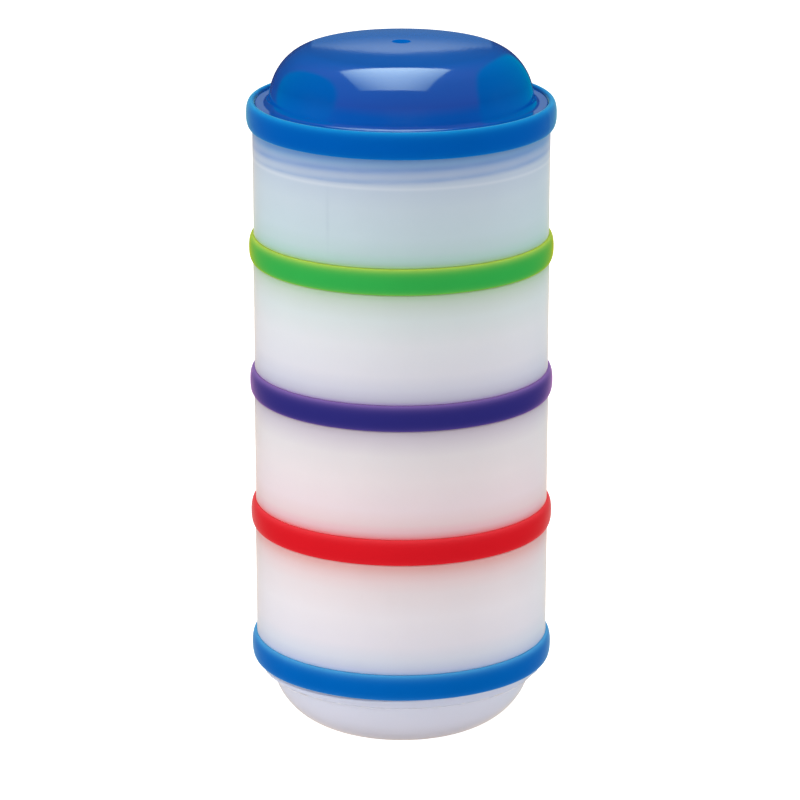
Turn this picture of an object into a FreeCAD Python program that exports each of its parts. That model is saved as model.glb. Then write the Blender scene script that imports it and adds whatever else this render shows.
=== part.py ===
import FreeCAD, Part
import math
import os

import Sketcher

# Stacking dispenser for portions of formula powder: four equal translucent cups that screw into one
# another, a soft ring round the foot of each cup's wall, and a domed lid with a ring of its own.
# Millimetres, +Z up along the stack, origin at the centre of the bottom cup's foot.
# Every piece but the threads is a turned profile: radius across, height up.

doc = FreeCAD.newDocument("formula_dispenser")

# ---------------------------------------------------------------- driving dimensions
SIZES = (
    ("cup_pitch", 37.2, "height from one cup to the next in the stack"),
    ("ring_rise", 22.3, "cup foot to the middle of its ring"),
    ("base_drop", 0.9, "how much lower the ring sits on the bottom cup, with no rim under it"),
    ("rim_radius", 40.0, "outside of the wall at the rim"),
    ("shoulder_radius", 39.8, "outside of the wall above the ring, with moulding draft"),
    ("wall_bore", 37.8, "inside of the wall"),
    ("rim_bore", 38.5, "inside of the threaded rim"),
    ("rim_depth", 8.2, "depth of the threaded rim"),
    ("bore_step", 0.6, "height of the slope from wall bore to rim bore"),
    ("rim_round", 0.45, "rounding of the rim"),
    ("foot_radius", 22.07, "flat foot"),
    ("foot_recess_radius", 18.0, "shallow recess under the foot"),
    ("foot_recess", 0.4, "depth of that recess"),
    ("floor_height", 1.9, "top of the floor above the foot"),
    ("floor_radius", 21.7, "flat part of the floor"),
    ("bowl_radius", 35.6, "widest outside of the bowl"),
    ("bowl_bore", 33.75, "widest inside of the bowl"),
    ("bowl_height", 13.98, "height of the bowl under the neck"),
    ("bowl_curve", 18.4, "radius of the bowl's outer curve"),
    ("bowl_bore_curve", 16.6, "radius of the bowl's inner curve"),
    ("neck_radius", 37.0, "outside of the neck between thread ridges"),
    ("neck_bore", 35.2, "inside of a cup's neck"),
    ("neck_chamfer", 0.4, "bevel at the neck's lower edge"),
    ("lip_radius", 39.0, "lip that rests on the rim below and keeps the ring on"),
    ("lip_height", 0.8, "thickness of that lip"),
    ("seat_radius", 38.4, "groove that the ring sits in"),
    ("seat_bore", 36.8, "inside of the wall behind the groove"),
    ("seat_blend", 1.5, "height of the inner slope beside the groove"),
    ("ring_half", 3.56, "half the height of a cup's ring"),
    ("ring_bulge", 1.28, "how far a ring stands proud of the wall"),
    ("ring_edge", 0.92, "height of a ring's rounded edge"),
    ("ring_edge_out", 0.86, "how far that edge comes out"),
    ("ring_edge_curve", 1.3, "radius of that edge"),
    ("ring_face_curve", 8.5, "radius of a ring's outer face"),
    ("fit_gap", 0.05, "running gap between a ring and its groove"),
    ("thread_lead", 6.0, "rise in one turn"),
    ("thread_starts", 2, "number of ridges side by side"),
    ("ridge_root", 1.3, "width of a ridge at its root"),
    ("ridge_tip", 0.7, "width of a ridge at its crest"),
    ("ridge_bury", 0.3, "how deep a ridge's root goes into the wall"),
    ("plug_crest", 38.1, "crest radius of the ridges outside necks and plug"),
    ("bore_crest", 37.4, "crest radius of the ridges inside rims"),
    ("neck_ridge_start", 0.8, "first ridge's middle above the neck's lower edge"),
    ("neck_ridge_rise", 3.2, "rise of a neck ridge"),
    ("neck_ridge_turn", -20.0, "where the neck's ridges start, degrees round from +X"),
    ("rim_ridge_rise", 5.7, "rise of a rim ridge"),
    ("rim_ridge_turn", 78.0, "where the rim's ridges start, degrees round from +X"),
    ("plug_ridge_rise", 6.0, "rise of a plug ridge"),
    ("plug_depth", 8.0, "how far the lid's plug goes into a rim"),
    ("plug_bore", 35.5, "inside of the plug"),
    ("lid_ring_skirt", 1.04, "how far the lid's ring laps down outside the rim"),
    ("lid_ring_height", 8.2, "height of the lid's ring"),
    ("lid_ring_bulge", 1.25, "how far the lid's ring stands proud of its skirt"),
    ("skirt_gap", 0.1, "gap between that skirt and the rim"),
    ("lid_lip_round", 0.75, "rounding at the inner top edge of the lid's ring"),
    ("flange_radius", 39.3, "edge of the lid's flange"),
    ("flange_bottom", 3.96, "underside of the flange's edge above the rim plane"),
    ("flange_top", 5.86, "top of the flange above the rim plane"),
    ("flange_ceiling", 4.1, "inside face of the flange above the rim plane"),
    ("dome_radius", 35.5, "outside of the dome at its base"),
    ("dome_bore", 33.9, "inside of the dome"),
    ("dome_straight", 7.76, "height where the dome starts to round over, above the rim plane"),
    ("dome_round", 13.0, "outer rounding of the dome's shoulder"),
    ("dome_wall", 1.6, "thickness of the dome"),
    ("crown_edge", 24.13, "where the shoulder runs into the gently domed top"),
    ("crown_low", 20.66, "height of the top there, above the rim plane"),
    ("crown_high", 22.2, "height of the top beside the gate mark"),
    ("crown_curve", 198.0, "radius of the domed top"),
    ("ceiling_edge", 23.93, "the same place on the inside"),
    ("ceiling_low", 19.07, "height of the inside there"),
    ("ceiling_high", 20.53, "height of the inside under the gate mark"),
    ("ceiling_curve", 196.4, "radius of the inside"),
    ("dome_foot_round", 0.8, "fillet where the dome meets the flange"),
    ("gate_radius", 2.5, "shallow round gate mark in the middle of the top"),
    ("gate_floor", 1.7, "flat bottom of that mark"),
    ("gate_depth", 0.45, "depth of that mark"),
)

sheet = doc.addObject("Spreadsheet::Sheet", "Sizes")
for row, (alias, value, note) in enumerate(SIZES, start=1):
    sheet.set("A%d" % row, alias)
    sheet.set("B%d" % row, str(value))
    sheet.set("C%d" % row, note)
    sheet.setAlias("B%d" % row, alias)
doc.recompute()

# ---------------------------------------------------------------- sketch helpers
RIGHT = 1
LEFT = -1
ORIGIN_POINT = (-1, 1)
X_AXIS = -1
Z_AXIS = -2
ALIASES = {alias for alias, _, _ in SIZES}


def bound(words):
    """Turn 'rim_bore - fit_gap' into an expression on the sheet's cells."""
    parts = words.split(" ")
    return " ".join("Sizes." + part if part in ALIASES else part for part in parts)


def number(words):
    """The value that such an expression has now."""
    return float(sheet.evalExpression(bound(words)))


def origin_feature(body, role):
    """A plane or axis of the body's own origin."""
    return next(item for item in body.Origin.OriginFeatures if item.Role == role)


def new_body(name, height="0"):
    """An empty body whose base stands at the given height in the stack."""
    body = doc.addObject("PartDesign::Body", name)
    body.Label = name
    body.setExpression("Placement.Base.z", bound(height))
    return body


def arc_between(start, end, radius, side):
    """The short arc from start to end, bulging to the right (1) or left (-1) of the way from start."""
    chord = end - start
    depth = math.sqrt(radius**2 - (chord.Length / 2) ** 2)
    centre = start + chord * 0.5 - FreeCAD.Vector(chord.y, -chord.x, 0).normalize() * depth * side
    first, last = (start, end) if side == RIGHT else (end, start)
    first_angle = math.atan2(first.y - centre.y, first.x - centre.x)
    last_angle = math.atan2(last.y - centre.y, last.x - centre.x)
    if last_angle < first_angle:
        last_angle += 2 * math.pi
    circle = Part.Circle(centre, FreeCAD.Vector(0, 0, 1), radius)
    return Part.ArcOfCircle(circle, first_angle, last_angle)


def profile(body, name, outline, turned=0.0):
    """A closed sketch on the XZ plane whose corners are tied to the sheet.

    Each corner is (radius, height) in sheet words, or (radius, height, arc radius, side) where an
    arc leads on to the next corner instead of a straight line.
    """
    sketch = body.newObject("Sketcher::SketchObject", name)
    sketch.AttachmentSupport = [(origin_feature(body, "XZ_Plane"), "")]
    sketch.MapMode = "FlatFace"
    if turned:
        about_z = FreeCAD.Rotation(FreeCAD.Vector(0, 1, 0), turned)
        sketch.AttachmentOffset = FreeCAD.Placement(FreeCAD.Vector(0, 0, 0), about_z)
    corners = [FreeCAD.Vector(number(item[0]), number(item[1]), 0) for item in outline]
    firsts = []
    lasts = []
    for i, item in enumerate(outline):
        start = corners[i]
        end = corners[(i + 1) % len(corners)]
        if len(item) == 2:
            edge = sketch.addGeometry(Part.LineSegment(start, end), False)
            flipped = False
        else:
            edge = sketch.addGeometry(arc_between(start, end, number(item[2]), item[3]), False)
            flipped = item[3] == LEFT
        firsts.append((edge, 2 if flipped else 1))
        lasts.append((edge, 1 if flipped else 2))
    for i, item in enumerate(outline):
        follower = firsts[(i + 1) % len(firsts)]
        sketch.addConstraint(Sketcher.Constraint("Coincident", *lasts[i], *follower))
        for kind, axis, words in (("DistanceX", Z_AXIS, item[0]), ("DistanceY", X_AXIS, item[1])):
            if words == "0":
                sketch.addConstraint(Sketcher.Constraint("PointOnObject", *firsts[i], axis))
                continue
            rule = Sketcher.Constraint(kind, *ORIGIN_POINT, *firsts[i], number(words))
            index = sketch.addConstraint(rule)
            sketch.setExpression("Constraints[%d]" % index, bound(words))
        if len(item) > 2:
            rule = Sketcher.Constraint("Radius", firsts[i][0], number(item[2]))
            index = sketch.addConstraint(rule)
            sketch.setExpression("Constraints[%d]" % index, bound(item[2]))
    return sketch


def turn(body, outline):
    """Revolve an outline a full turn about the stack's axis."""
    sketch = profile(body, body.Name + "_outline", outline)
    solid = body.newObject("PartDesign::Revolution", body.Name + "_turned")
    solid.Profile = sketch
    solid.ReferenceAxis = (sketch, ["V_Axis"])
    solid.Angle = 360
    sketch.Visibility = False
    doc.recompute()
    return solid


def circle_edges(shape, radius, height):
    """Names of the circular edges of one radius at one height above the body's base."""
    names = []
    for i, edge in enumerate(shape.Edges, start=1):
        if not isinstance(edge.Curve, Part.Circle):
            continue
        if abs(edge.Curve.Radius - radius) < 1e-4 and abs(edge.Curve.Center.z - height) < 1e-4:
            names.append("Edge%d" % i)
    return names


def round_edges(body, name, base, rings, radius):
    """Fillet the circular edges given as (radius, height) in sheet words."""
    names = []
    for ring_radius, height in rings:
        found = circle_edges(base.Shape, number(ring_radius), number(height))
        if not found:
            raise RuntimeError("%s: no edge at %s, %s" % (name, ring_radius, height))
        names += found
    fillet = body.newObject("PartDesign::Fillet", name)
    fillet.Base = (base, names)
    fillet.setExpression("Radius", bound(radius))
    body.Tip = fillet
    doc.recompute()
    return fillet


def thread(body, name, wall, crest, start, rise, turned):
    """Helical ridges standing out from a wall, one per start, with a sloped side above and below."""
    into = "-" if number(crest) > number(wall) else "+"
    outline = (
        (wall + " " + into + " ridge_bury", start + " - ridge_root / 2"),
        (crest, start + " - ridge_tip / 2"),
        (crest, start + " + ridge_tip / 2"),
        (wall + " " + into + " ridge_bury", start + " + ridge_root / 2"),
    )
    sketch = profile(body, name + "_section", outline, number(turned))
    ridge = body.newObject("PartDesign::AdditiveHelix", name + "_ridge")
    ridge.Profile = sketch
    ridge.ReferenceAxis = (sketch, ["V_Axis"])
    ridge.Mode = "pitch-height-angle"
    ridge.setExpression("Pitch", bound("thread_lead"))
    ridge.setExpression("Height", bound(rise))
    ridge.LeftHanded = False
    sketch.Visibility = False
    doc.recompute()
    starts = body.newObject("PartDesign::PolarPattern", name)
    starts.Originals = [ridge]
    starts.Axis = (origin_feature(body, "Z_Axis"), [""])
    starts.Angle = 360
    starts.setExpression("Occurrences", bound("thread_starts"))
    body.Tip = starts
    doc.recompute()
    return starts


# ---------------------------------------------------------------- cups
RIM = "ring_rise + cup_pitch - ring_half"
NECK_RIDGE = "bowl_height + neck_ridge_start"


def cup(name, height, drop):
    """A cup: bowl, threaded neck, groove for its ring, wall, and a rim threaded inside."""
    ring_bottom = "ring_rise - ring_half" + drop
    ring_top = "ring_rise + ring_half" + drop
    body = new_body(name, height)
    outline = (
        ("0", "foot_recess"),
        ("foot_recess_radius", "foot_recess"),
        ("foot_recess_radius + foot_recess", "0"),
        ("foot_radius", "0", "bowl_curve", RIGHT),
        ("bowl_radius", "bowl_height"),
        ("neck_radius - neck_chamfer", "bowl_height"),
        ("neck_radius", "bowl_height + neck_chamfer"),
        ("neck_radius", ring_bottom),
        ("lip_radius", ring_bottom),
        ("lip_radius", ring_bottom + " + lip_height"),
        ("seat_radius", ring_bottom + " + lip_height"),
        ("seat_radius", ring_top),
        ("shoulder_radius", ring_top),
        ("rim_radius", RIM),
        ("rim_bore", RIM),
        ("rim_bore", RIM + " - rim_depth"),
        ("wall_bore", RIM + " - rim_depth - bore_step"),
        ("wall_bore", ring_top + " + seat_blend"),
        ("seat_bore", ring_top + " - fit_gap"),
        ("seat_bore", ring_bottom + " + seat_blend"),
        ("neck_bore", ring_bottom),
        ("neck_bore", "bowl_height + neck_chamfer"),
        ("bowl_bore", "bowl_height", "bowl_bore_curve", LEFT),
        ("floor_radius", "floor_height"),
        ("0", "floor_height"),
    )
    turned = turn(body, outline)
    round_edges(body, name + "_rim_round", turned, (("rim_radius", RIM), ("rim_bore", RIM)), "rim_round")
    thread(body, name + "_neck_thread", "neck_radius", "plug_crest", NECK_RIDGE, "neck_ridge_rise",
           "neck_ridge_turn")
    # The rim's ridges run half a ridge spacing away from those of the neck that screws into them.
    rim_ridge = "cup_pitch + " + NECK_RIDGE + " + thread_lead * ( rim_ridge_turn - neck_ridge_turn ) / 360" \
        " - 1.5 * thread_lead / thread_starts"
    thread(body, name + "_rim_thread", "rim_bore", "bore_crest", rim_ridge, "rim_ridge_rise",
           "rim_ridge_turn")
    return body


# ---------------------------------------------------------------- rings
def ring(name, height, drop):
    """A soft ring in a cup's groove: rounded outside, stepped inside to go over the lip."""
    bottom = "ring_rise - ring_half" + drop
    top = "ring_rise + ring_half" + drop
    body = new_body(name, height)
    outline = (
        ("lip_radius + fit_gap", bottom),
        ("shoulder_radius", bottom, "ring_edge_curve", RIGHT),
        ("shoulder_radius + ring_edge_out", bottom + " + ring_edge", "ring_face_curve", RIGHT),
        ("shoulder_radius + ring_edge_out", top + " - ring_edge", "ring_edge_curve", RIGHT),
        ("shoulder_radius", top),
        ("seat_radius + fit_gap", top),
        ("seat_radius + fit_gap", bottom + " + lip_height"),
        ("lip_radius + fit_gap", bottom + " + lip_height"),
    )
    turn(body, outline)
    return body


def lid_ring(name, height):
    """The lid's taller ring: its skirt laps down outside the rim and its top stands round the flange."""
    body = new_body(name, height)
    face = "rim_radius + skirt_gap"
    top = "lid_ring_height - lid_ring_skirt"
    outline = (
        (face, "0 - lid_ring_skirt", "ring_edge_curve", RIGHT),
        (face + " + ring_edge_out", "ring_edge - lid_ring_skirt", "ring_face_curve", RIGHT),
        (face + " + ring_edge_out", top + " - ring_edge", "ring_edge_curve", RIGHT),
        (face, top),
        ("flange_radius + fit_gap + lid_lip_round", top, "lid_lip_round", RIGHT),
        ("flange_radius + fit_gap", top + " - lid_lip_round"),
        ("flange_radius + fit_gap", "flange_bottom"),
        ("seat_radius + fit_gap", "flange_bottom"),
        ("seat_radius + fit_gap", "lip_height"),
        ("lip_radius + fit_gap", "lip_height"),
        ("lip_radius + fit_gap", "0"),
        (face, "0"),
    )
    turn(body, outline)
    return body


# ---------------------------------------------------------------- lid
def lid(name, height):
    """The lid: threaded plug, lip, groove for its ring, flange, and a hollow dome. Base at the rim plane."""
    body = new_body(name, height)
    outline = (
        ("plug_bore", "0 - plug_depth"),
        ("neck_radius - neck_chamfer", "0 - plug_depth"),
        ("neck_radius", "neck_chamfer - plug_depth"),
        ("neck_radius", "0"),
        ("lip_radius", "0"),
        ("lip_radius", "lip_height"),
        ("seat_radius", "lip_height"),
        ("seat_radius", "flange_bottom"),
        ("flange_radius", "flange_bottom"),
        ("flange_radius", "flange_top"),
        ("dome_radius", "flange_top"),
        ("dome_radius", "dome_straight", "dome_round", RIGHT),
        ("crown_edge", "crown_low", "crown_curve", RIGHT),
        ("gate_radius", "crown_high"),
        ("gate_floor", "crown_high - gate_depth"),
        ("0", "crown_high - gate_depth"),
        ("0", "ceiling_high"),
        ("gate_radius", "ceiling_high", "ceiling_curve", LEFT),
        ("ceiling_edge", "ceiling_low", "dome_round - dome_wall", LEFT),
        ("dome_bore", "dome_straight"),
        ("dome_bore", "flange_ceiling"),
        ("seat_bore", "flange_ceiling"),
        ("seat_bore", "seat_blend"),
        ("plug_bore", "0"),
    )
    turned = turn(body, outline)
    round_edges(body, name + "_dome_foot", turned, (("dome_radius", "flange_top"),), "dome_foot_round")
    # The plug's ridges lie on the same helix as a cup neck's, so it screws into any rim.
    plug_ridge = NECK_RIDGE + " - ring_rise + ring_half - thread_lead * neck_ridge_turn / 360" \
        " - thread_lead / thread_starts"
    thread(body, name + "_plug_thread", "neck_radius", "plug_crest", plug_ridge, "plug_ridge_rise", "0")
    return body


# ---------------------------------------------------------------- the stack, from the bottom up
STACK = (
    ("cup_4", "blue_ring", " - base_drop"),
    ("cup_3", "red_ring", ""),
    ("cup_2", "purple_ring", ""),
    ("cup_1", "green_ring", ""),
)

bodies = []
for level, (cup_name, ring_name, drop) in enumerate(STACK):
    height = "cup_pitch * %d" % level
    bodies.append(cup(cup_name, height, drop))
    bodies.append(ring(ring_name, height, drop))

rim_plane = "cup_pitch * %d + %s" % (len(STACK) - 1, RIM)
bodies.append(lid("lid_dome", rim_plane))
bodies.append(lid_ring("lid_ring", rim_plane))
doc.recompute()

# ---------------------------------------------------------------- checks and STEP files
for item in doc.Objects:
    if {"Invalid", "Error"} & set(item.State):
        raise RuntimeError("%s failed: %s" % (item.Name, item.State))

os.makedirs("parts", exist_ok=True)
for body in bodies:
    shape = body.Shape
    if shape.isNull() or not shape.isValid() or len(shape.Solids) != 1:
        raise RuntimeError("%s is not one valid solid" % body.Label)
    shape.exportStep("parts/%s.step" % body.Label)
    box = shape.BoundBox
    print("%-12s %9.1f mm3  z %7.2f to %7.2f" % (body.Label, shape.Volume, box.ZMin, box.ZMax))
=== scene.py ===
# %% [markdown]
# # A stack of portion cups
# A formula dispenser of this kind is a pile of turned plastic pieces: four milky cups that screw into
# each other, a soft coloured ring round the foot of each cup's wall, and a domed blue lid. Its size,
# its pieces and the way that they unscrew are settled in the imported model, so this script loads that
# model first and builds every surface around it.

import math

import bpy
import numpy as np
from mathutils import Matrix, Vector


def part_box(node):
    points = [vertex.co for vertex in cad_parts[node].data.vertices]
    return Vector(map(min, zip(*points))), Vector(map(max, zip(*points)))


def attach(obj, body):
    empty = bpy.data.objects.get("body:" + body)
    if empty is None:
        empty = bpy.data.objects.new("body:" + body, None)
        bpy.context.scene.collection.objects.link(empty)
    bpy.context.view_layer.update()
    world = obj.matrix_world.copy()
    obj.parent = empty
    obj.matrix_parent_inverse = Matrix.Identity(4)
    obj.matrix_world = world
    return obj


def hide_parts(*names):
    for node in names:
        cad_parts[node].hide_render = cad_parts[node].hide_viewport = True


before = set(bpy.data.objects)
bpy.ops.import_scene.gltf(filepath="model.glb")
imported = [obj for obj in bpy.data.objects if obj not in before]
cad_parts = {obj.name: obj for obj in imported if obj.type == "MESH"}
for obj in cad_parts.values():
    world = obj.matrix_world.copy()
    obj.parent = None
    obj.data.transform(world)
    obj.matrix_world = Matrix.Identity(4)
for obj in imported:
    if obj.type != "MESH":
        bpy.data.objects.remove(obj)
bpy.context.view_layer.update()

# %% [markdown]
# ## Where things are
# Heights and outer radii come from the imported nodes, so the looks can't drift away from the model.
# The shapes are easier to think about in millimetres, and one factor turns them into metres at the
# very end. What the boxes can't tell, such as wall thickness and thread form, is named here once.

# %% Sizes
MM = 0.001
AROUND = 240            # points round every turned surface

CUPS = ("cup_4", "cup_3", "cup_2", "cup_1")
RINGS = {"cup_4": "blue_ring", "cup_3": "red_ring", "cup_2": "purple_ring", "cup_1": "green_ring"}
BODIES = {"cup_4": "base", "cup_3": "cup_3", "cup_2": "cup_2", "cup_1": "cup_1"}


def span(node):
    """Lowest height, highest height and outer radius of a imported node, in millimetres."""
    low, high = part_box(node)
    return low.z / MM, high.z / MM, high.x / MM


CUP_PITCH = span("cup_3")[0] - span("cup_4")[0]
RIM_RADIUS = span("cup_4")[2]
RIM_PLANE = span("cup_1")[1]
DOME_TOP = span("lid_dome")[1]

SHOULDER_RADIUS = 39.8
WALL_BORE = 37.8
RIM_BORE = 38.5
RIM_DEPTH = 8.2
BOWL_HEIGHT = 13.98
NECK_RADIUS = 37.0
NECK_BORE = 35.2
SEAT_RADIUS = 38.4
SEAT_BORE = 36.8
LIP_RADIUS = 39.0
LIP_HEIGHT = 0.8
FIT_GAP = 0.05

THREAD_LEAD = 6.0       # rise in one turn
THREAD_STARTS = 2
RIDGE_ROOT = 1.3
RIDGE_TIP = 0.7
PLUG_CREST = 38.1
BORE_CREST = 37.4
OUT_OF_ROUND = 0.02
FINE = 0.11             # row spacing where ridges are
print("cup pitch %.2f mm, rim radius %.2f mm, top at %.2f mm" % (CUP_PITCH, RIM_RADIUS, DOME_TOP))

# %% [markdown]
# ## Outlines with soft corners
# A moulded piece has no sharp edge: the mould is cut with a round tool, and light catches each
# rounded corner as a thin line. So an outline is written as a few corners, each with its own
# rounding, and a function puts in the arcs. It also cuts long sides into short steps, because
# smooth shading needs points close to a bend, and ridges need many rows.

# %% Outline helper
BESIDE = 0.12           # how close to its ends a long side gets its extra points


def rounded(corners, step=1.2):
    """Points along an outline of (radius, height, rounding) or (radius, height, rounding, step) corners.

    Each corner P between its neighbours A and B is cut back by q / tan(half the angle at P) along
    both sides and joined by an arc of radius q tangent to them. A side is divided evenly into parts
    no longer than its step, and a long side has one extra point close to each of its ends.
    """
    points = np.array([corner[:2] for corner in corners], float)
    pieces = []
    for i, corner in enumerate(corners):
        here = points[i]
        if 0 < i < len(corners) - 1 and corner[2] > 0:
            back = points[i - 1] - here
            onward = points[i + 1] - here
            back /= np.linalg.norm(back)
            onward /= np.linalg.norm(onward)
            half = math.acos(np.clip(back @ onward, -1, 1)) / 2
            middle = (back + onward) / np.linalg.norm(back + onward)
            centre = here + middle * corner[2] / math.sin(half)
            start = here + back * corner[2] / math.tan(half)
            end = here + onward * corner[2] / math.tan(half)
            share = np.linspace(0, 1, 7)[:, None]
            sweep = math.pi - 2 * half
            first = start - centre
            across = (end - centre - first * math.cos(sweep)) / math.sin(sweep)
            pieces.append(centre + first * np.cos(share * sweep) + across * np.sin(share * sweep))
        else:
            pieces.append(here[None])
    steps = [corner[3] if len(corner) > 3 else step for corner in corners]
    rows = [pieces[0]]
    for i in range(len(pieces) - 1):
        a, b = pieces[i][-1], pieces[i + 1][0]
        length = np.linalg.norm(b - a)
        count = max(1, math.ceil(length / steps[i]))
        share = np.arange(1, count) / count
        if length > 4 * step / 5:
            share = np.concatenate([[BESIDE / length], share, [1 - BESIDE / length]])
        rows.append(a + (b - a) * share[:, None])
        rows.append(pieces[i + 1])
    return np.vstack(rows)


def arc(start, end, radius, count):
    """Corners along a circle's arc from start to end, turning left; a negative radius turns right.

    The centre lies beside the middle of the chord, at sqrt(radius^2 - (chord / 2)^2) from it.
    """
    start, end = np.array(start, float), np.array(end, float)
    chord = end - start
    half = np.linalg.norm(chord) / 2
    left = np.array([-chord[1], chord[0]]) / (2 * half)
    centre = (start + end) / 2 + left * math.copysign(math.sqrt(radius ** 2 - half ** 2), radius)
    sweep = 2 * math.asin(half / radius)
    turn = np.linspace(0, sweep, count)[:, None]
    first = start - centre
    points = centre + first * np.cos(turn) + np.array([-first[1], first[0]]) * np.sin(turn)
    return [(r, h, 0) for r, h in points]


print("a square corner rounded by 1 mm has", len(rounded([(0, 0, 0), (4, 0, 1), (4, 4, 0)])), "points")

# %% [markdown]
# ## Turning an outline into a mesh
# Spin and Screw could turn the outline too, but a grid of numbers leaves room for relief: before
# the points are placed, the radius of every point may be changed by a function of its height and
# its angle. That is how screw ridges, mould lines and the slight unevenness of real plastic get in.

# %% Turned surface


def turned(name, outline, relief=None):
    """Surface of revolution: x = R cos a, y = R sin a, z = height, with R = radius + relief(height, a).

    An outline that starts and ends on the axis closes with a pole at each end; any other outline
    closes on itself like a tyre. The outside must be followed upwards, so that faces point outwards.
    """
    capped = outline[0, 0] == 0
    body = outline[1:-1] if capped else outline
    angle = np.arange(AROUND) * 2 * math.pi / AROUND
    radius, height = np.broadcast_arrays(body[:, :1], body[:, 1:])
    radius = np.repeat(radius, AROUND, 1)
    height = np.repeat(height, AROUND, 1)
    if relief is not None:
        radius = radius + relief(radius, height, angle[None])
    place = np.stack([radius * np.cos(angle), radius * np.sin(angle), height], -1).reshape(-1, 3)
    rows = len(body)
    row = np.arange(rows if not capped else rows - 1)[:, None]
    column = np.arange(AROUND)[None]
    right = (column + 1) % AROUND
    above = (row + 1) % rows
    quads = np.stack(np.broadcast_arrays(
        row * AROUND + column, row * AROUND + right, above * AROUND + right, above * AROUND + column), -1)
    faces = quads.reshape(-1, 4).tolist()
    if capped:
        poles = np.array([[0, 0, outline[0, 1]], [0, 0, outline[-1, 1]]])
        place = np.vstack([place, poles])
        bottom, top = rows * AROUND, rows * AROUND + 1
        last = (rows - 1) * AROUND
        side = column[0]
        beside = right[0]
        faces += np.stack([np.full(AROUND, bottom), beside, side], -1).tolist()
        faces += np.stack([last + side, last + beside, np.full(AROUND, top)], -1).tolist()
    mesh = bpy.data.meshes.new(name)
    mesh.from_pydata((place * MM).tolist(), [], faces)
    mesh.polygons.foreach_set("use_smooth", np.ones(len(mesh.polygons), bool))
    mesh.update()
    piece = bpy.data.objects.new(name, mesh)
    bpy.context.scene.collection.objects.link(piece)
    print("%-18s %6d faces" % (name, len(mesh.polygons)))
    return piece


# %% [markdown]
# ## Screw ridges
# The neck under each cup, the inside of each rim and the lid's plug carry two ridges that wind up side
# by side.
# A ridge is a helix: its middle rises by the lead in one turn. A point belongs to the ridge when its
# own height is close to the helix's height at its angle, so the ridge needs no modelling of its own:
# it is a bump added to the radius, with sloped sides and ends that fade out as moulded threads do.

# %% Ridge relief


def smooth(x):
    """0 below 0, 1 above 1, and the cubic 3x^2 - 2x^3 in between."""
    x = np.clip(x, 0, 1)
    return x * x * (3 - 2 * x)


def ridges(height, angle, start, turned_by, rise, tall):
    """How far the ridges stand out at each height and angle.

    Ridge k starts at angle turned_by + k * 360 / starts. After winding by w degrees its middle is at
    start + lead * w / 360, and it ends when that has grown by rise. Across, it is a trapezoid from
    RIDGE_ROOT at its root to RIDGE_TIP at its crest. Along, it fades in and out over 12 degrees.
    """
    fade = math.radians(12)
    whole = rise / THREAD_LEAD * 2 * math.pi
    out = np.zeros(np.broadcast(height, angle).shape)
    for k in range(THREAD_STARTS):
        first = math.radians(turned_by) + k * 2 * math.pi / THREAD_STARTS
        for lap in range(math.ceil(whole / (2 * math.pi))):
            wound = (angle - first) % (2 * math.pi) + lap * 2 * math.pi
            off = np.abs(height - start - THREAD_LEAD * wound / (2 * math.pi))
            across = np.clip((RIDGE_ROOT / 2 - off) / ((RIDGE_ROOT - RIDGE_TIP) / 2), 0, 1)
            along = smooth(wound / fade) * smooth((whole - wound) / fade)
            out = np.maximum(out, across * along)
    return out * tall


NECK_START = BOWL_HEIGHT + 0.8
NECK_TURN = -20         # angle, in degrees, where the first ridge starts
NECK_RISE = 3.2
RIM_TURN = 78
RIM_RISE = 5.7
ALONGSIDE = 1.5 * THREAD_LEAD / THREAD_STARTS       # a rim's ridges lie half-way between a neck's
RIM_START = CUP_PITCH + NECK_START + THREAD_LEAD * (RIM_TURN - NECK_TURN) / 360 - ALONGSIDE
print("rim ridges start %.2f mm above a cup's foot" % RIM_START)

# %% [markdown]
# ## The cups
# A cup is a shallow bowl under a straight wall. The bowl and the neck above it drop into the rim of
# the cup below, the ring hides the joint, and the rim is bored out and threaded to take the next
# neck. One function makes all four; the bottom cup only has its ring a little lower.

# %% Cup surface
RECESS_RADIUS = 18.0        # the underside is hollow inside its foot ring
RECESS_DEPTH = 0.4
FOOT_INNER_RADIUS = 18.4
FOOT_OUTER_RADIUS = 22.07
BOWL_RADIUS = 35.6
BOWL_CURVE = 18.4
BOWL_BORE = 33.75
BOWL_BORE_CURVE = 16.6
FLOOR_RADIUS = 21.7
FLOOR_HEIGHT = 1.9
NECK_EDGE_RADIUS = 36.6     # the neck starts with a small chamfer
NECK_EDGE = 0.4
RIM_EDGE = 0.45             # rounding of the rim's two edges
RAMP = 1.5                  # height over which the inside changes width
SHARP = 0.1                 # rounding of an edge that meets another piece
NEAR = 0.02                 # a hair's breadth, so that two surfaces don't lie in one another


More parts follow.
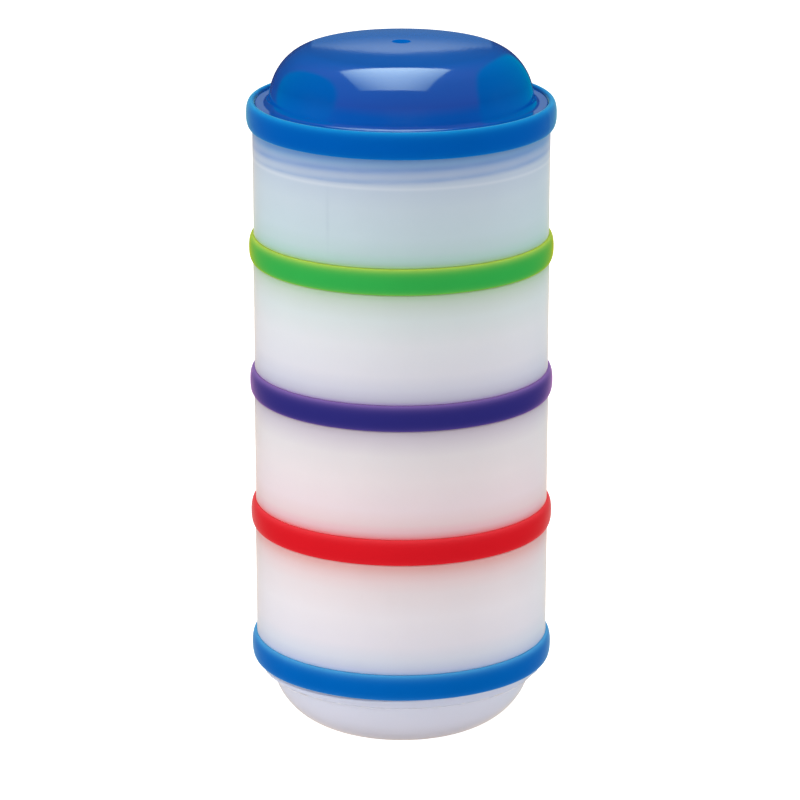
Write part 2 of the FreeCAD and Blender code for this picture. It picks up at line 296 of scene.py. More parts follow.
def cup_outline(foot, rim, ring_low, ring_high):
    """The cup's outline, from the middle of its underside, up the outside, and down to its floor."""
    lip_top = ring_low + LIP_HEIGHT
    neck_low = BOWL_HEIGHT + NECK_EDGE
    outside = [(0, RECESS_DEPTH, 0), (RECESS_RADIUS, RECESS_DEPTH, 0.15), (FOOT_INNER_RADIUS, 0, 0.15)]
    outside += arc((FOOT_OUTER_RADIUS, 0), (BOWL_RADIUS, BOWL_HEIGHT - NEAR), BOWL_CURVE, 30)
    outside += [
        (NECK_EDGE_RADIUS, BOWL_HEIGHT, SHARP, FINE), (NECK_RADIUS, neck_low, 0.2, FINE),
        (NECK_RADIUS, ring_low, SHARP), (LIP_RADIUS, ring_low, 0.15), (LIP_RADIUS, lip_top, 0.15),
        (SEAT_RADIUS, lip_top, SHARP), (SEAT_RADIUS, ring_high, SHARP),
        (SHOULDER_RADIUS, ring_high, 0.3), (RIM_RADIUS, rim, RIM_EDGE)]
    inside = [
        (RIM_BORE, rim, RIM_EDGE, FINE), (RIM_BORE, rim - RIM_DEPTH, 0.2),
        (WALL_BORE, rim - RIM_DEPTH - 0.6, 0.3), (WALL_BORE, ring_high + RAMP, 2),
        (SEAT_BORE, ring_high, 2), (SEAT_BORE, ring_low + RAMP, 1),
        (NECK_BORE, ring_low, 1), (NECK_BORE, neck_low, 0.8)]
    inside += arc((BOWL_BORE, BOWL_HEIGHT), (FLOOR_RADIUS, FLOOR_HEIGHT), -BOWL_BORE_CURVE, 24)
    inside += [(0, FLOOR_HEIGHT, 0)]
    return rounded(outside + inside) + [0, foot]


def cup_relief(foot, rim, ring_low):
    """Ridges outside the neck and inside the rim, and a wall that is out of round by a few hundredths."""
    def relief(radius, height, angle):
        up = height - foot
        neck = (np.abs(radius - NECK_RADIUS) < 0.35) & (up > BOWL_HEIGHT) & (up < ring_low)
        bore = (np.abs(radius - RIM_BORE) < NEAR) & (up > rim - RIM_DEPTH)
        out = neck * ridges(up, angle, NECK_START, NECK_TURN, NECK_RISE, PLUG_CREST - NECK_RADIUS)
        out = out - bore * ridges(up, angle, RIM_START, RIM_TURN, RIM_RISE, RIM_BORE - BORE_CREST)
        wall = radius > SHOULDER_RADIUS - 0.2
        return out - wall * OUT_OF_ROUND * (1 + np.cos(2 * angle + foot)) * smooth((rim - up) / 4)
    return relief


cups = {}
for cup in CUPS:
    foot, rim, _ = span(cup)
    ring_low, ring_high, _ = span(RINGS[cup])
    heights = (rim - foot, ring_low - foot, ring_high - foot)
    piece = turned(cup + "_shell", cup_outline(foot, *heights), cup_relief(foot, heights[0], heights[1]))
    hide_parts(cup)
    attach(piece, BODIES[cup])
    cups[cup] = piece

# %% [markdown]
# ## The rings
# The rings are a soft, rubbery plastic stretched over the lip at the foot of each wall. Outside they
# swell like a flattened tube; inside they are stepped to hook over the lip. The two halves of their
# mould leave a fine raised line at two places, which is the only thing that shows they are separate
# mouldings, so it goes in as relief.

# %% Ring surfaces
MOULD_LINE_HEIGHT = 0.12
MOULD_LINE_WIDTH = 0.45     # from its middle to where it has fallen to 1/e


def swell(low, high, radius, bulge, power, count=34):
    """The outside of a ring, upwards: height = middle - half cos a, radius + bulge sin(a)^(2/p)."""
    turn = np.linspace(0, math.pi, count)
    height = (low + high) / 2 - (high - low) / 2 * np.sign(np.cos(turn)) * np.abs(np.cos(turn)) ** (2 / power)
    out = radius + bulge * np.sin(turn) ** (2 / power)
    return [(r, h, 0) for r, h in zip(out, height)]


def mould_line(where):
    """A fine line on the outside, at one angle and straight across from it."""
    def relief(radius, height, angle):
        aside = (angle - math.radians(where) + math.pi / 2) % math.pi - math.pi / 2
        ridge = np.exp(-((aside * radius / MOULD_LINE_WIDTH) ** 2))
        return MOULD_LINE_HEIGHT * ridge * smooth((radius - SHOULDER_RADIUS - 0.15) / 0.4)
    return relief


def ring_outline(low, high, radius):
    """Round outside, then down the inside: shoulder, groove, and the step over the lip."""
    inside = [
        (SEAT_RADIUS + FIT_GAP, high - NEAR, SHARP), (SEAT_RADIUS + FIT_GAP, low + LIP_HEIGHT, SHARP),
        (LIP_RADIUS + FIT_GAP, low + LIP_HEIGHT, SHARP), (LIP_RADIUS + FIT_GAP, low + NEAR, 0)]
    return rounded(swell(low, high, SHOULDER_RADIUS, radius - SHOULDER_RADIUS, 2.3) + inside)


MOULD_LINES = {"green_ring": -94, "purple_ring": -172, "red_ring": -52, "blue_ring": -140}
rings = {}
for cup in CUPS:
    ring = RINGS[cup]
    piece = turned(ring + "_band", ring_outline(*span(ring)), mould_line(MOULD_LINES[ring]))
    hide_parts(ring)
    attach(piece, "base" if cup == "cup_4" else ring)
    rings[ring] = piece

# %% [markdown]
# The lid's ring is taller than the others. Its skirt laps a little way down over the top cup's rim,
# and its upper edge stands round the lid's flange as a soft raised lip. Both edges are softer than the
# packed ring's, so they end a little short of its box.

# %% Lid ring
FLANGE_RADIUS = 39.3
FLANGE_EDGE = RIM_PLANE + 3.96
FLANGE_TOP = RIM_PLANE + 5.86
SKIRT_RADIUS = RIM_RADIUS + 0.1
LID_MOULD_LINE = -20

LIP_SOFT = 0.55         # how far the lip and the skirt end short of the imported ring's edges
SKIRT_SOFT = 0.3

lid_ring_low, lid_ring_high, lid_ring_radius = span("lid_ring")
lid_ring_low += SKIRT_SOFT
lid_ring_high -= LIP_SOFT
print("lid ring from %.2f to %.2f mm, flange top at %.2f mm" % (lid_ring_low, lid_ring_high, FLANGE_TOP))
outline = swell(lid_ring_low, lid_ring_high, SKIRT_RADIUS, lid_ring_radius - SKIRT_RADIUS, 2.4, 40)
outline += [
    (FLANGE_RADIUS + FIT_GAP, lid_ring_high - NEAR, 0.6), (FLANGE_RADIUS + FIT_GAP, FLANGE_EDGE, SHARP),
    (SEAT_RADIUS + FIT_GAP, FLANGE_EDGE, SHARP), (SEAT_RADIUS + FIT_GAP, RIM_PLANE + LIP_HEIGHT, SHARP),
    (LIP_RADIUS + FIT_GAP, RIM_PLANE + LIP_HEIGHT, SHARP), (LIP_RADIUS + FIT_GAP, RIM_PLANE + NEAR, SHARP),
    (SKIRT_RADIUS - NEAR, RIM_PLANE + NEAR, SHARP), (SKIRT_RADIUS - NEAR, lid_ring_low + NEAR, 0)]
piece = turned("lid_ring_band", rounded(outline), mould_line(LID_MOULD_LINE))
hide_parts("lid_ring")
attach(piece, "lid_ring")
rings["lid_ring"] = piece

# %% [markdown]
# ## The lid
# One glossy moulding: a threaded plug that screws into the top cup, a narrow flange, and a hollow
# dome. The dome's shoulder is part of an ellipse, a little taller than it is wide, and its top goes on
# rising gently to the middle, where a small round dent shows where the plastic entered the mould.

# %% Lid surface
DOME_RADIUS = 35.5
SHOULDER_ACROSS = 13.0
SHOULDER_UP = 14.6
SHOULDER_END = 24.0     # radius where the shoulder runs into the gently domed top
SHOULDER_START = math.radians(6)    # the shoulder takes over here from the rounding at the dome's foot
DENT_RADIUS = 2.5
DENT_FLOOR_RADIUS = 1.7
DENT_DEPTH = 0.45
DOME_WALL = 1.6
PLUG_LOW = span("lid_dome")[0]
PLUG_BORE = 35.5
PLUG_CHAMFER = 1.5
PLUG_RISE = 6.0
CAVITY_STEP = RIM_PLANE + 4.1       # where the dome's hollow widens into the plug's
FOOT_ROUNDING = 1.5
PLUG_START = PLUG_LOW + 1.37

SHOULDER_TURN = math.acos(1 - (DOME_RADIUS - SHOULDER_END) / SHOULDER_ACROSS)
SLOPE_THERE = SHOULDER_UP / (SHOULDER_ACROSS * math.tan(SHOULDER_TURN))
CROWN = SLOPE_THERE * SHOULDER_END / 2      # how much the top rises from there to its middle


def crown(radius, inset):
    """Height of the gently domed top: top - inset - crown * (radius^2 - dent^2) / end^2."""
    return DOME_TOP - inset - CROWN * (radius ** 2 - DENT_RADIUS ** 2) / SHOULDER_END ** 2


def dome_corners(inset):
    """Corners up the shoulder, radius = middle + across cos t and height = foot + up sin t, and inwards
    over the top, `inset` inside the outer surface. The two parts meet at the same slope.
    """
    turn = np.linspace(SHOULDER_START, SHOULDER_TURN, 48)
    foot = crown(SHOULDER_END, 0) - SHOULDER_UP * math.sin(SHOULDER_TURN)
    radius = DOME_RADIUS - SHOULDER_ACROSS + (SHOULDER_ACROSS - inset) * np.cos(turn)
    height = foot + (SHOULDER_UP - inset) * np.sin(turn)
    inwards = np.linspace(SHOULDER_END - 1, DENT_RADIUS + 1, 14)
    radius = np.concatenate([radius, inwards])
    height = np.concatenate([height, crown(inwards, inset)])
    return [(r, h, 0) for r, h in zip(radius, height)]


def lid_outline():
    """From the middle of the dome's underside, down the inside, round the plug, and up over the dome."""
    inside = [(0, DOME_TOP - DOME_WALL, 0)] + dome_corners(DOME_WALL)[::-1]
    inside += [
        (DOME_RADIUS - DOME_WALL, CAVITY_STEP, 0.3), (SEAT_BORE, CAVITY_STEP, 0.3),
        (SEAT_BORE, RIM_PLANE + PLUG_CHAMFER, 0.5), (PLUG_BORE, RIM_PLANE, 0.5), (PLUG_BORE, PLUG_LOW, 0.3)]
    outside = [
        (NECK_RADIUS, PLUG_LOW, 0.4, FINE), (NECK_RADIUS, RIM_PLANE, SHARP), (LIP_RADIUS, RIM_PLANE, SHARP),
        (LIP_RADIUS, RIM_PLANE + LIP_HEIGHT, SHARP), (SEAT_RADIUS, RIM_PLANE + LIP_HEIGHT, SHARP),
        (SEAT_RADIUS, FLANGE_EDGE, SHARP), (FLANGE_RADIUS, FLANGE_EDGE, SHARP),
        (FLANGE_RADIUS, FLANGE_TOP, 0.35), (DOME_RADIUS, FLANGE_TOP, FOOT_ROUNDING)]
    outside += dome_corners(0)
    dent_floor = DOME_TOP - DENT_DEPTH
    dent = [(DENT_RADIUS, DOME_TOP, 0.4), (DENT_FLOOR_RADIUS, dent_floor, 0.3), (0, dent_floor, 0)]
    return rounded(inside + outside + dent)


def lid_relief(radius, height, angle):
    """Two ridges on the plug, and a dome that is out of true by two hundredths of a millimetre."""
    plug = (np.abs(radius - NECK_RADIUS) < NEAR) & (height < RIM_PLANE)
    out = plug * ridges(height, angle, PLUG_START, 0, PLUG_RISE, PLUG_CREST - NECK_RADIUS)
    above = height - FLANGE_TOP - 2
    dome = (above > 0) & (radius > SHOULDER_END)
    return out + dome * OUT_OF_ROUND * np.cos(3 * angle) * smooth(above / 4)


lid = turned("lid_dome_shell", lid_outline(), lid_relief)
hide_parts("lid_dome")
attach(lid, "lid")
print("dome stands %.1f mm above the flange" % (DOME_TOP - FLANGE_TOP))

# %% [markdown]
# ## Light in the plastic, painted into colour
# None of these pieces has a flat colour. Light goes into milky plastic, wanders, and comes out near
# by, so the colour of each piece leaks into its neighbours; here that leak is painted into the colours
# as a painted glow. Where a painted glow falls off from a boundary, one small helper builds it: a fade
# is 1 at the boundary and e^-1 at its reach.
# The helpers below only join shader nodes; a shader is a sum and the helpers are its plus signs.

# %% Shader helpers


def colour(red, green, blue):
    """A linear colour from an 8-bit sRGB one: ((c + 0.055) / 1.055)^2.4, or c / 12.92 near black."""
    values = [c / 255 for c in (red, green, blue)]
    return tuple(((c + 0.055) / 1.055) ** 2.4 if c > 0.04045 else c / 12.92 for c in values) + (1.0,)


class Shader:
    """A material's node tree, with a method for each kind of node that is used here."""

    def __init__(self, name):
        self.material = bpy.data.materials.new(name)
        self.material.use_nodes = True
        self.nodes = self.material.node_tree.nodes
        self.links = self.material.node_tree.links
        self.surface = self.nodes["Principled BSDF"]
        place = self.nodes.new("ShaderNodeTexCoord").outputs["Object"]
        self.place = self.scaled(place, 1 / MM)
        split = self.nodes.new("ShaderNodeSeparateXYZ")
        self.links.new(self.place, split.inputs[0])
        self.x, self.y, self.z = split.outputs
        self.angle = self.maths("ARCTAN2", self.y, self.x)
        self.radius = self.maths("SQRT", self.maths("ADD", self.maths("MULTIPLY", self.x, self.x),
                                                    self.maths("MULTIPLY", self.y, self.y)))

    def give(self, socket, value):
        """Links a socket to another node's output, or sets it where value is a plain value."""
        if isinstance(value, bpy.types.NodeSocket):
            self.links.new(value, socket)
        else:
            socket.default_value = value

    def maths(self, operation, *values):
        """One Math node; values are numbers or sockets."""
        node = self.nodes.new("ShaderNodeMath")
        node.operation = operation
        for socket, value in zip(node.inputs, values):
            self.give(socket, value)
        return node.outputs[0]

    def scaled(self, vector, factor):
        """A vector times a number, or times three numbers."""
        node = self.nodes.new("ShaderNodeVectorMath")
        node.operation = "MULTIPLY"
        self.give(node.inputs[0], vector)
        node.inputs[1].default_value = factor if isinstance(factor, tuple) else (factor,) * 3
        return node.outputs[0]

    def fade(self, distance, reach):
        """exp(-distance / reach), held at 1 behind the boundary."""
        return self.maths("EXPONENT", self.maths("DIVIDE", self.maths("MAXIMUM", distance, 0.0), -reach))

    def band(self, value, middle, half):
        """exp(-((value - middle) / half)^2): a soft line round the piece."""
        off = self.maths("DIVIDE", self.maths("SUBTRACT", value, middle), half)
        return self.maths("EXPONENT", self.maths("MULTIPLY", self.maths("MULTIPLY", off, off), -1.0))

    def mix(self, amount, first, second, blend="MIX"):
        """First and second colour mixed, or first multiplied by second where blend says so."""
        node = self.nodes.new("ShaderNodeMix")
        node.data_type = "RGBA"
        node.blend_type = blend
        self.give(node.inputs[0], amount)
        self.give(node.inputs[6], first)
        self.give(node.inputs[7], second)
        return node.outputs[2]

    def ramp(self, value, low, stops):
        """Colours at given distances above `low`, blended in between. Stops are (distance, r, g, b)."""
        node = self.nodes.new("ShaderNodeValToRGB")
        reach = stops[-1][0]
        self.links.new(self.maths("DIVIDE", self.maths("SUBTRACT", value, low), reach), node.inputs[0])
        elements = node.color_ramp.elements
        while len(elements) < len(stops):
            elements.new(0.5)
        for element, (distance, *rgb) in zip(elements, stops):
            element.position = distance / reach
            element.color = colour(*rgb)
        return node.outputs[0]

    def noise(self, scale, detail=2.0, squeeze=(1, 1, 1)):
        """Noise of about `scale` lumps to the millimetre, squeezed by these factors along x, y and z."""
        node = self.nodes.new("ShaderNodeTexNoise")
        self.links.new(self.scaled(self.place, squeeze), node.inputs["Vector"])
        node.inputs["Scale"].default_value = scale
        node.inputs["Detail"].default_value = detail
        return node.outputs["Fac"]

    def between(self, value, low, high):
        """A 0-to-1 value carried linearly onto low-to-high."""
        node = self.nodes.new("ShaderNodeMapRange")
        self.give(node.inputs["Value"], value)
        node.inputs["To Min"].default_value = low
        node.inputs["To Max"].default_value = high
        return node.outputs[0]

    def bump(self, height, depth):
        """Normals tilted by a relief of `depth` metres where height is 1."""
        node = self.nodes.new("ShaderNodeBump")
        self.links.new(height, node.inputs["Height"])
        node.inputs["Distance"].default_value = depth
        self.links.new(node.outputs[0], self.surface.inputs["Normal"])

    def set(self, **values):
        """Sockets of the Principled shader by name, with _ for a space."""
        for name, value in values.items():
            self.give(self.surface.inputs[name.replace("_", " ")], value)


print("grey 128 is", [round(c, 3) for c in colour(128, 128, 128)[:3]], "in linear light")

# %% [markdown]
# ## Milky cups
# The plastic itself is nearly white. What gives each cup its character is its neighbours' light,
# painted into its colour: a cup takes on a painted glow of the ring at its foot and of whatever plugs
# its rim, strongly within a millimetre or two and faintly for a centimetre. So each wall has a short
# list of painted colours at heights above its ring. Only the top cup shows what is inside it, because
# the blue plug is dark: the ridges that grip the plug are painted on as bands, where they show through.
# They follow the mesh's own helix, whose height rises by the lead in one turn, so
# `height - lead * angle / 360` is the same all along one ridge.

# %% Cup material
WALL_HEIGHTS = (0, 1, 2, 4, 8, 16, 23, 26, 28, 29, 30)
# painted glow: each wall's near-white plastic, with the light of its own ring painted in above the ring and
# that of the ring or plug above painted in towards the rim
WALL_COLOURS_WITH_PAINTED_GLOW = {
    "cup_4": (
        (150, 178, 212), (184, 190, 214), (192, 198, 215), (205, 208, 219),
        (218, 214, 221), (224, 218, 222), (222, 211, 213), (222, 202, 203),
        (220, 190, 190), (218, 180, 178), (217, 168, 166)),
    "cup_3": (
        (232, 110, 120), (216, 160, 164), (220, 180, 186), (221, 198, 200),
        (224, 208, 212), (223, 213, 215), (217, 211, 213), (207, 200, 206),
        (198, 190, 199), (190, 181, 192), (178, 168, 178)),
    "cup_2": (
        (160, 140, 190), (178, 176, 194), (188, 187, 203), (200, 200, 212),
        (212, 211, 218), (214, 215, 219), (205, 213, 213), (197, 207, 202),
        (188, 202, 190), (178, 197, 178), (166, 192, 160)),
    "cup_1": (
        (156, 194, 126), (160, 192, 178), (169, 198, 192), (180, 201, 202),
        (187, 203, 209), (188, 201, 210), (180, 192, 207), (152, 170, 199),
        (124, 156, 192), (110, 144, 183), (100, 136, 178)),
}
BOWL_HEIGHTS = (0, 4, 8, 14, 18)
# the bowl's colours by height above the foot: darker at the foot, palest in the middle, and a little darker
# and bluer just under the ring
BOWL_COLOURS = ((196, 190, 198), (201, 197, 205), (206, 205, 216), (206, 207, 219), (196, 200, 216))
GREYS = (0, 0, 0, 1), (1, 1, 1, 1)      # mixing these turns a number into a grey
GRAIN = 0.00002                         # depth of the fine grain of cups and rings, in metres
# painted: the plug's blue showing through the wall at its ridges
PAINTED_PLUG_SHOW_THROUGH = colour(70, 120, 186)       # what the plug's blue makes of the wall at a ridge
# painted light: a pale line just under the plug
PAINTED_LINE_UNDER_PLUG = colour(206, 212, 220)       # the pale line under the plug
MARK_SHADE = colour(140, 160, 178)      # a faint upright mark on the top cup
MARK_ANGLE = math.radians(-119)
MARK_HEIGHT = 38


def painted_plug_bands(s, foot, paint):
    """The paint of the top cup with the plug's ridges painted on where they show through it, a painted pale
    line under the plug, and a faint upright mark.
    """
    # painted bands of the plug's blue where its ridges show through the wall
    spacing = THREAD_LEAD / THREAD_STARTS
    unwound = s.maths("SUBTRACT", s.z, s.maths("MULTIPLY", s.angle, THREAD_LEAD / (2 * math.pi)))
    first = foot + RIM_START - THREAD_LEAD * RIM_TURN / 360
    since = s.maths("SUBTRACT", unwound, first - spacing / 2)
    along = s.maths("FRACT", s.maths("DIVIDE", since, spacing))
    ridge = s.band(along, 0.5, 0.27)
    streaks = s.between(s.noise(0.09, 3.0, (1, 1, 6)), 0.25, 1.0)
    inside = s.maths("MULTIPLY", s.fade(s.maths("SUBTRACT", PLUG_LOW + 0.6, s.z), 0.5),
                     s.maths("MULTIPLY", ridge, streaks))
    paint = s.mix(s.maths("MULTIPLY", inside, 0.55), paint, PAINTED_PLUG_SHOW_THROUGH)
    # a painted pale line of light just under the plug
    edge = s.maths("MULTIPLY", s.band(s.z, PLUG_LOW - 0.6, 0.45), 0.5)
    paint = s.mix(edge, paint, PAINTED_LINE_UNDER_PLUG)
    aside = s.maths("MULTIPLY", s.maths("SUBTRACT", s.angle, MARK_ANGLE), RIM_RADIUS)
    mark = s.maths("MULTIPLY", s.band(aside, 0.0, 0.5), s.band(s.z, foot + MARK_HEIGHT, 8.0))
    return s.mix(s.maths("MULTIPLY", mark, 0.12), paint, MARK_SHADE)


def milky(cup):
    """The wall's colours with their painted glow by height above the ring, the bowl's below it, clouds, and
    the top cup's painted bands.
    """
    foot, rim, _ = span(cup)
    ring_low, ring_high, _ = span(RINGS[cup])
    s = Shader("milky_" + cup)
    wall = s.ramp(s.z, ring_high, [(h, *c) for h, c in zip(WALL_HEIGHTS, WALL_COLOURS_WITH_PAINTED_GLOW[cup])])
    bowl = s.ramp(s.z, foot, [(h, *c) for h, c in zip(BOWL_HEIGHTS, BOWL_COLOURS)])
    paint = s.mix(s.maths("GREATER_THAN", s.z, (ring_low + ring_high) / 2), bowl, wall)
    if cup == "cup_1":
        paint = painted_plug_bands(s, foot, paint)
    cloud = s.between(s.noise(0.05, 3.0), 0.975, 1.025)
    paint = s.mix(1.0, paint, s.mix(cloud, *GREYS), "MULTIPLY")
    s.set(Base_Color=paint, Roughness=s.between(s.noise(0.4, 4.0), 0.34, 0.46), IOR=1.5,
          Specular_IOR_Level=0.1, Sheen_Weight=1.0, Sheen_Roughness=0.25, Sheen_Tint=(1.0, 0.86, 0.7, 1),
          Subsurface_Weight=0.5, Subsurface_Radius=(1.0, 0.9, 0.85), Subsurface_Scale=0.001)
    s.bump(s.noise(1.5, 3.0), GRAIN)
    return s.material


for cup, piece in cups.items():
    piece.data.materials.append(milky(cup))
    print("milky plastic on", piece.name)

# %% [markdown]
# ## Soft rings
# The rings are pigmented right through, but still pass a little light: their thin edges glow in a
# lighter tint of much the same hue. That glow is painted into the colour towards both edges, the top
# one most. A tinted sheen does the same, since it grows towards grazing angles, which is just where
# the plastic is thin along the line of sight.

# %% Ring material
RING_PAINT = {
    "green_ring": colour(48, 162, 72), "purple_ring": colour(42, 40, 112), "red_ring": colour(206, 24, 34),
    "blue_ring": colour(0, 92, 174), "lid_ring": colour(0, 84, 168)}
# painted glow: the lighter tint that each ring's thin edges are painted towards
RING_PAINTED_GLOW = {
    "green_ring": colour(200, 226, 96), "purple_ring": colour(150, 118, 190), "red_ring": colour(246, 70, 78),
    "blue_ring": colour(90, 180, 232), "lid_ring": colour(30, 160, 226)}
RING_SHEEN = {
    "green_ring": (1.0, 0.70, 0.0, 1), "purple_ring": (0.90, 0.48, 0.80, 1),
    "red_ring": (0.60, 0.40, 0.38, 1), "blue_ring": (0.36, 0.60, 0.55, 1), "lid_ring": (0.30, 0.65, 0.45, 1)}


def rubber(ring):
    """Ring plastic: its pigment, a painted glow towards its two edges, and a fine satin grain."""
    low, high = (lid_ring_low, lid_ring_high) if ring == "lid_ring" else span(ring)[:2]
    s = Shader("rubber_" + ring)
    # painted glow towards the top edge, and a weaker one towards the bottom edge
    edge = s.maths("ADD", s.fade(s.maths("SUBTRACT", high, s.z), 0.6),
                   s.maths("MULTIPLY", s.fade(s.maths("SUBTRACT", s.z, low), 0.5), 0.4))
    paint = s.mix(s.maths("MULTIPLY", edge, 0.8), RING_PAINT[ring], RING_PAINTED_GLOW[ring])
    cloud = s.between(s.noise(0.08, 2.0), 0.95, 1.05)
    paint = s.mix(1.0, paint, s.mix(cloud, *GREYS), "MULTIPLY")
    s.set(Base_Color=paint, Roughness=s.between(s.noise(0.6, 4.0), 0.4, 0.52), IOR=1.48,
          Specular_IOR_Level=0.0, Sheen_Weight=1.0, Sheen_Roughness=0.27, Sheen_Tint=RING_SHEEN[ring])
    s.bump(s.noise(3.0, 2.0), GRAIN)
    return s.material


for ring, piece in rings.items():
    piece.data.materials.append(rubber(ring))
    print("soft plastic on", piece.name)

# %% [markdown]
# ## The glossy lid
# Polished moulding steel leaves a surface like glass. The blue is painted uneven, as painted shade and
# painted light: it is deepest some way up the sides, where one looks through more plastic, and paler
# over the top and at the foot. The surface waves by about a hundredth of a millimetre, which softens
# straight reflections. Only the small dent on top is matt.

# %% Lid material
LID_HEIGHTS = (0, 2, 6, 11, 13.5, 16)
# painted shade and light: deepest blue some way up the dome's sides, paler over the top and at the foot
LID_BLUES_WITH_PAINTED_SHADE_AND_LIGHT = ((0, 94, 186), (0, 90, 182), (0, 74, 160), (0, 83, 168), (0, 92, 180), (0, 103, 197))
WAVES = 0.00004         # depth that the surface's waves could reach, in metres


def glossy():
    """Blue lid plastic with painted shade and light, under a clear gloss."""
    s = Shader("glossy_lid")
    paint = s.ramp(s.z, FLANGE_TOP, [(h, *c) for h, c in zip(LID_HEIGHTS, LID_BLUES_WITH_PAINTED_SHADE_AND_LIGHT)])
    cloud = s.between(s.noise(0.03, 2.0), 0.95, 1.05)
    paint = s.mix(1.0, paint, s.mix(cloud, *GREYS), "MULTIPLY")
    dent = s.maths("MULTIPLY", s.maths("LESS_THAN", s.radius, DENT_RADIUS),
                   s.maths("GREATER_THAN", s.z, DOME_TOP - DOME_WALL / 2))
    s.set(Base_Color=paint, Roughness=s.between(s.noise(0.5, 3.0), 0.07, 0.12), IOR=1.5,
          Specular_IOR_Level=s.between(dent, 0.5, 0.0))
    s.bump(s.noise(0.12, 1.0), WAVES)
    return s.material


lid.data.materials.append(glossy())
print("gloss on", lid.name)

# %% [markdown]
# ## Floor and backdrop
# Everything round the object is plain white. The floor is lit like paper, but for the camera it also
# gives off a little light of its own, so that it melts into the backdrop without a horizon. What the
# glossy lid mirrors is another matter: a studio is mostly dark, with a pale patch of backdrop low down
# behind the object, a large round card on each side and a dim, warm room in front, so mirrored rays see
# that instead of white. Each of these is a mask over directions, laid over one another like paper.

# %% Floor and surroundings
WHITE = (1, 1, 1, 1)
PAPER = (0.6, 0.6, 0.61, 1)
PAPER_GLOW = (0.4, 0.4, 0.4, 1)


def seen_by(tree, rays, value, otherwise):
    """A Mix node's colour: `value` for one kind of ray ("Is Camera Ray"), `otherwise` for the rest."""
    path = tree.nodes.new("ShaderNodeLightPath")
    choose = tree.nodes.new("ShaderNodeMix")
    choose.data_type = "RGBA"
    tree.links.new(path.outputs[rays], choose.inputs[0])
    for socket, colour_or_link in ((choose.inputs[6], otherwise), (choose.inputs[7], value)):
        if isinstance(colour_or_link, bpy.types.NodeSocket):
            tree.links.new(colour_or_link, socket)
        else:
            socket.default_value = colour_or_link
    return choose.outputs[2]


bpy.ops.mesh.primitive_plane_add(size=8)
floor = bpy.context.object
floor.name = "floor"
white = bpy.data.materials.new("floor_paper")
white.use_nodes = True
shader = white.node_tree.nodes["Principled BSDF"]
shader.inputs["Base Color"].default_value = PAPER
shader.inputs["Roughness"].default_value = 0.9
shader.inputs["Specular IOR Level"].default_value = 0.0
shader.inputs["Emission Strength"].default_value = 1.0
glow = seen_by(white.node_tree, "Is Camera Ray", WHITE, PAPER_GLOW)
white.node_tree.links.new(glow, shader.inputs["Emission Color"])
floor.data.materials.append(white)
floor.visible_glossy = False

AMBIENT = 0.46
DARK = (0.05, 0.03, 0.05, 1)
ROOM_IN_FRONT = (0.38, 0.03, 0.16, 1)
CARD = (0.0, 0.42, 0.55, 1)
LEFT_CARD = (-0.958, 0.200, 0.206), 0.779       # the way to its middle, and the cosine of its half width
RIGHT_CARD = (0.873, 0.486, 0.035), 0.678
CARD_EDGE = 0.03
BACKDROP_LOW = (0.11, 0.20, 0.36, 1)
BACKDROP_HIGH = (0.75, 0.85, 0.80, 1)
BACKDROP_MIDDLE = (0, 0, 0.10)                  # an oval patch, as sideways and upwards parts of a direction
BACKDROP_HALF = (0.078, 0.246)

world = bpy.data.worlds.new("surroundings")
bpy.context.scene.world = world
world.use_nodes = True
tree = world.node_tree


def soft_step(value, low, high):
    """Smooth 0 to 1 as value goes from `low` to `high`, which may be the smaller of the two."""
    node = tree.nodes.new("ShaderNodeMapRange")
    node.interpolation_type = "SMOOTHSTEP"
    tree.links.new(value, node.inputs["Value"])
    node.inputs["From Min"].default_value = low
    node.inputs["From Max"].default_value = high
    return node.outputs[0]


def product(*factors):
    """Several 0-to-1 masks multiplied."""
    out = factors[0]
    for factor in factors[1:]:
        node = tree.nodes.new("ShaderNodeMath")
        node.operation = "MULTIPLY"
        tree.links.new(out, node.inputs[0])
        tree.links.new(factor, node.inputs[1])
        out = node.outputs[0]
    return out


def layer(mask, under, over):
    """Colour `over` laid on colour `under` where the mask is 1."""
    node = tree.nodes.new("ShaderNodeMix")
    node.data_type = "RGBA"
    tree.links.new(mask, node.inputs[0])
    for socket, value in ((node.inputs[6], under), (node.inputs[7], over)):
        if isinstance(value, bpy.types.NodeSocket):
            tree.links.new(value, socket)
        else:
            socket.default_value = value
    return node.outputs[2]


def vector_maths(operation, first, second, output):
    """One Vector Math node: `second` is three numbers, `output` is "Value" or "Vector"."""
    node = tree.nodes.new("ShaderNodeVectorMath")
    node.operation = operation
    tree.links.new(first, node.inputs[0])
    node.inputs[1].default_value = second
    return node.outputs[output]


def card(middle, cosine):
    """Mask of a round card: 1 where direction . middle is above the cosine."""
    towards = vector_maths("DOT_PRODUCT", direction, middle, "Value")
    return soft_step(towards, cosine - CARD_EDGE, cosine + CARD_EDGE)


direction = tree.nodes.new("ShaderNodeTexCoord").outputs["Generated"]
split = tree.nodes.new("ShaderNodeSeparateXYZ")
tree.links.new(direction, split.inputs[0])
depth, rise = split.outputs["Y"], split.outputs["Z"]
aside = vector_maths("SUBTRACT", direction, BACKDROP_MIDDLE, "Vector")
aside = vector_maths("MULTIPLY", aside, (1 / BACKDROP_HALF[0], 0, 1 / BACKDROP_HALF[1]), "Vector")
oval = soft_step(vector_maths("LENGTH", aside, (0, 0, 0), "Value"), 1.04, 0.96)
behind = product(soft_step(depth, 0.0, 0.5), oval)
room = product(soft_step(depth, 0.95, 0.3), soft_step(rise, 0.1, 0.45))
mirrored = layer(room, DARK, ROOM_IN_FRONT)
mirrored = layer(card(*RIGHT_CARD), layer(card(*LEFT_CARD), mirrored, CARD), CARD)
mirrored = layer(behind, mirrored, layer(soft_step(rise, 0.12, 0.38), BACKDROP_LOW, BACKDROP_HIGH))
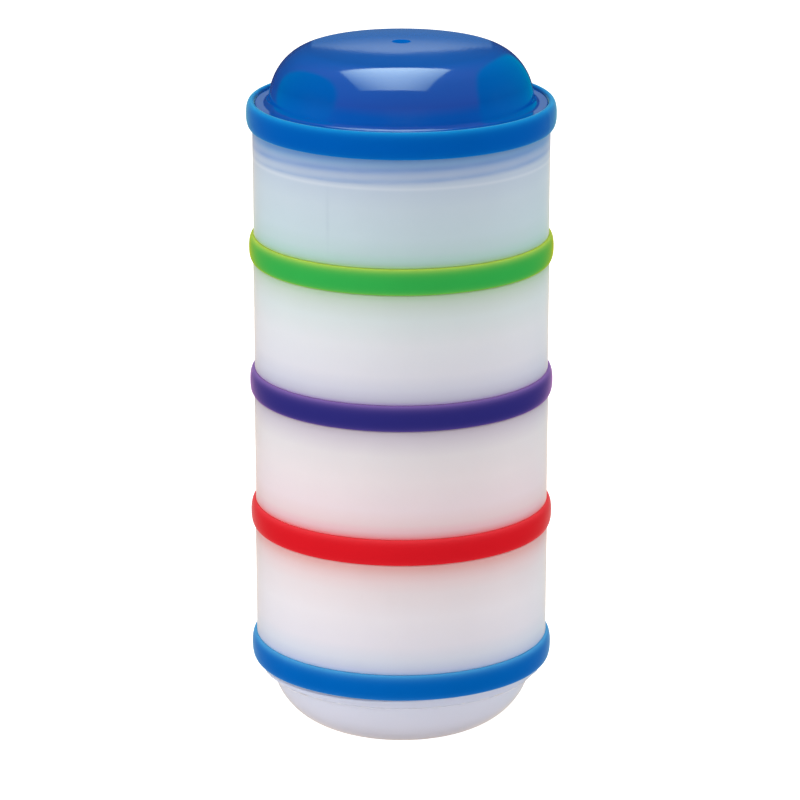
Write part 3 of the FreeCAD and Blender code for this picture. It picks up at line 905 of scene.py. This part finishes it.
lighting = seen_by(tree, "Is Glossy Ray", mirrored, (AMBIENT, AMBIENT, AMBIENT, 1))
background = tree.nodes["Background"]
tree.links.new(seen_by(tree, "Is Camera Ray", WHITE, lighting), background.inputs["Color"])
print("floor and surroundings are in place")

# %% [markdown]
# ## Lights
# What the lid mirrors and what lights the walls are kept apart, because a studio does both with
# things that a small scene leaves out. The mirrored softbox is a glowing sheet over the object that
# only mirrored rays see, brightest in its middle and weaker towards its edges: its reflection is the
# pale patch that narrows over the lid's shoulder. The lights that fill the walls from the left, the
# front, the right and above are the other way round and aren't mirrored.

# %% Mirrored softbox
SOFTBOX_HEIGHT = 1.0
SOFTBOX = (
    (-0.484, -0.372), (-0.365, 0.450), (-0.152, 0.700), (-0.004, 1.050), (0.106, 0.828), (0.245, 0.573),
    (0.276, -0.412))
SOFTBOX_GLOW = 6.8
BRIGHT_ACROSS = -50, 365        # middle and half width of its bright part, in millimetres
BRIGHT_DEEP = 250, 1150

mesh = bpy.data.meshes.new("softbox")
mesh.from_pydata([(x, y, SOFTBOX_HEIGHT) for x, y in SOFTBOX], [], [tuple(range(len(SOFTBOX)))])
softbox = bpy.data.objects.new("softbox", mesh)
bpy.context.scene.collection.objects.link(softbox)
s = Shader("softbox_glow")
middle = s.maths("MULTIPLY", s.band(s.x, *BRIGHT_ACROSS), s.band(s.y, *BRIGHT_DEEP))
s.set(Base_Color=(0, 0, 0, 1), Specular_IOR_Level=0.0, Emission_Color=(0.80, 1.0, 0.98, 1),
      Emission_Strength=s.maths("MULTIPLY", middle, SOFTBOX_GLOW))
mesh.materials.append(s.material)
softbox.visible_camera = softbox.visible_diffuse = False
softbox.visible_shadow = softbox.visible_transmission = False
print("softbox with", len(SOFTBOX), "corners,", SOFTBOX_HEIGHT, "m up")

# %% [markdown]
# The fills are plain square lights that all look at the middle of the stack. Their brightness is set
# as radiance, because that is what the walls see; a lamp's power grows with its area.

# %% Lights that fill the walls


def fill(name, place, size, radiance):
    """A square light that looks at the middle of the stack; its power is radiance * pi * area, in watts."""
    light = bpy.data.lights.new(name, "AREA")
    light.size = size
    light.energy = radiance * math.pi * size ** 2
    holder = bpy.data.objects.new(name, light)
    bpy.context.scene.collection.objects.link(holder)
    holder.location = place
    holder.visible_glossy = False
    away = np.array(place) - (0, 0, 0.1)
    flat = math.hypot(away[0], away[1])
    holder.rotation_euler = (math.atan2(flat, away[2]), 0, math.atan2(away[0], -away[1]) if flat else 0)
    print("%-12s %5.1f W" % (name, light.energy))


fill("left_fill", (-1.3, -0.3, 0.3), 1.0, 2.9)
fill("front_fill", (0.1, -1.6, 0.5), 1.0, 2.3)
fill("right_fill", (1.3, 0.45, 0.3), 1.0, 2.2)
fill("top_fill", (0.0, 0.0, 1.4), 1.0, 1.8)

# %% [markdown]
# ## Camera
# The camera looks slightly down at the stack from well away through a long lens, which keeps the
# cups' walls nearly parallel.

# %% Camera
CAMERA_DOWN = math.radians(16.40)
CAMERA_PLACE = (-0.00037, -1.2183, 0.4488)
LENS = 210
SENSOR_WIDTH = 36

camera = bpy.data.objects.new("camera", bpy.data.cameras.new("camera"))
camera.data.lens = LENS
camera.data.sensor_width = SENSOR_WIDTH
camera.location = CAMERA_PLACE
camera.rotation_euler = (math.pi / 2 - CAMERA_DOWN, 0, 0)
bpy.context.scene.collection.objects.link(camera)
bpy.context.scene.camera = camera
bpy.context.scene.view_settings.view_transform = "Standard"
print("camera %.2f m away" % math.hypot(camera.location.y, camera.location.z))
